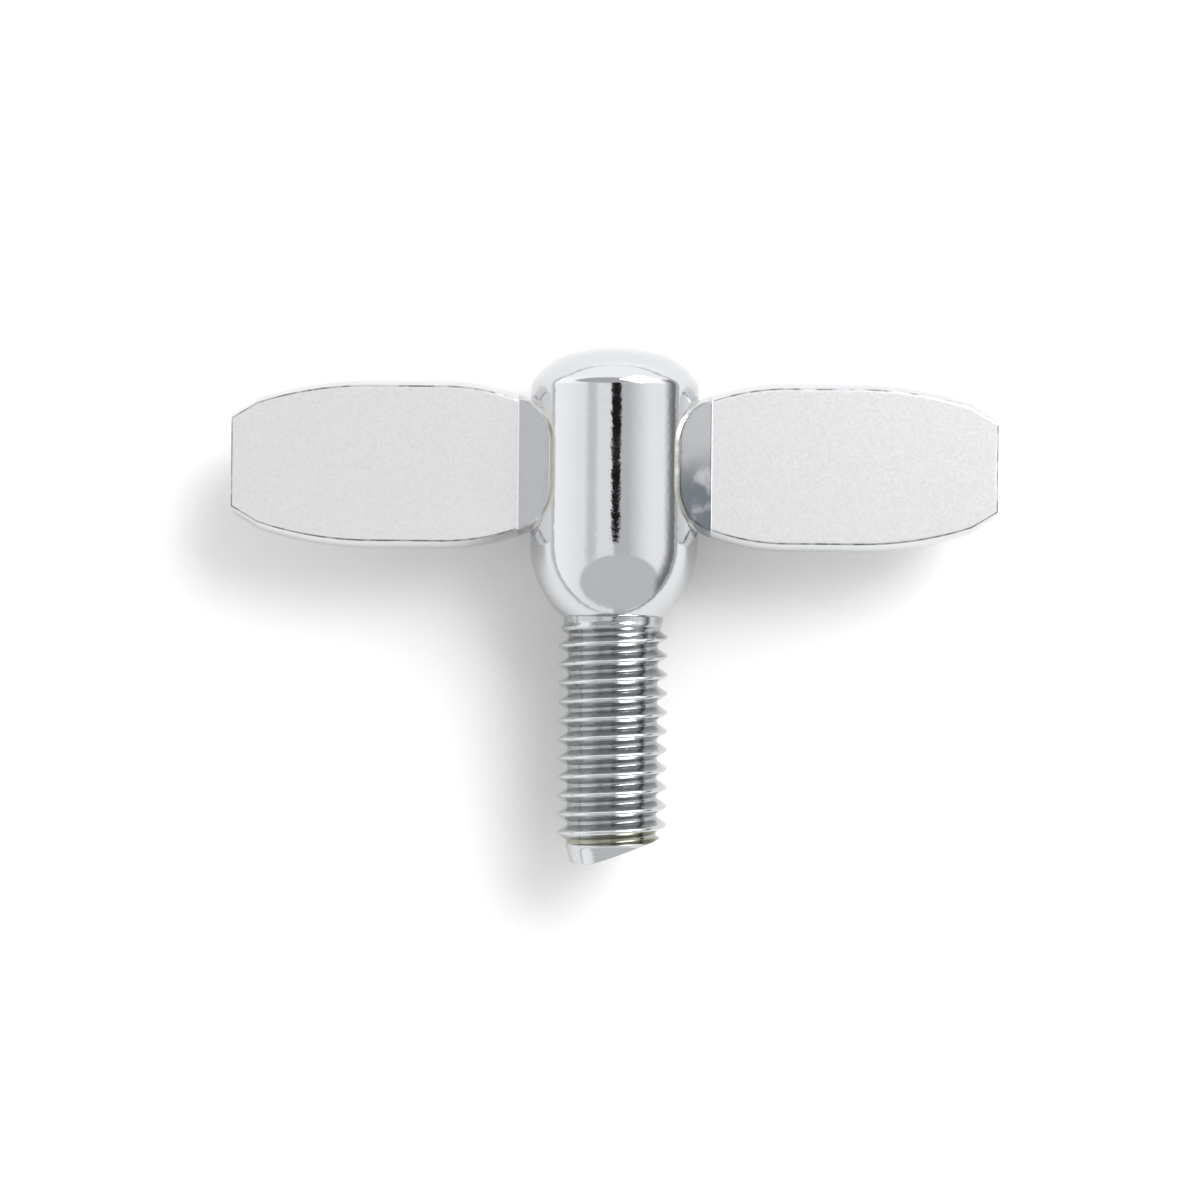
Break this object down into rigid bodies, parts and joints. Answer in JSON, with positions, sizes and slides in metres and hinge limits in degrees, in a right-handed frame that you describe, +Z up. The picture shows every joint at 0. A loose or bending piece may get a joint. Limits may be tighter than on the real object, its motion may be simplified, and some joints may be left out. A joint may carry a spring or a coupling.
{
  "type": "wing screw",
  "caption": "Chrome-plated wing screw: a domed round hub with a flat wing on each side and a right-hand metric threaded stud below, turned by hand.",
  "frame": {"origin": "on the screw's axis, in the plane of the hub's underside, where the stud leaves the hub", "axes": "the screw lies on its side: +X along the wings, +Y along the screw's axis towards the domed top, so the stud points along -Y, and +Z up, square to the wings' flat faces"},
  "size_m": [0.0408, 0.0277, 0.009],
  "materials": {
    "chrome_hub": "bright chrome plate on a turned steel hub, mirror smooth",
    "chrome_wing": "bright chrome plate on forged steel, with a fine orange-peel on the flats",
    "chrome_thread": "thin bright plate on a rolled steel thread",
    "plated_braze": "chrome plate over a smooth brazed fillet",
    "braze": "brass filler metal, left as it set"
  },
  "bodies": {
    "root": {"hub": "chrome_hub", "left_wing": "chrome_wing", "right_wing": "chrome_wing", "left_braze_fillet": "plated_braze", "right_braze_fillet": "plated_braze", "stud_braze_ring": "braze", "threaded_stud": "chrome_thread"}
  },
  "joints": []
}
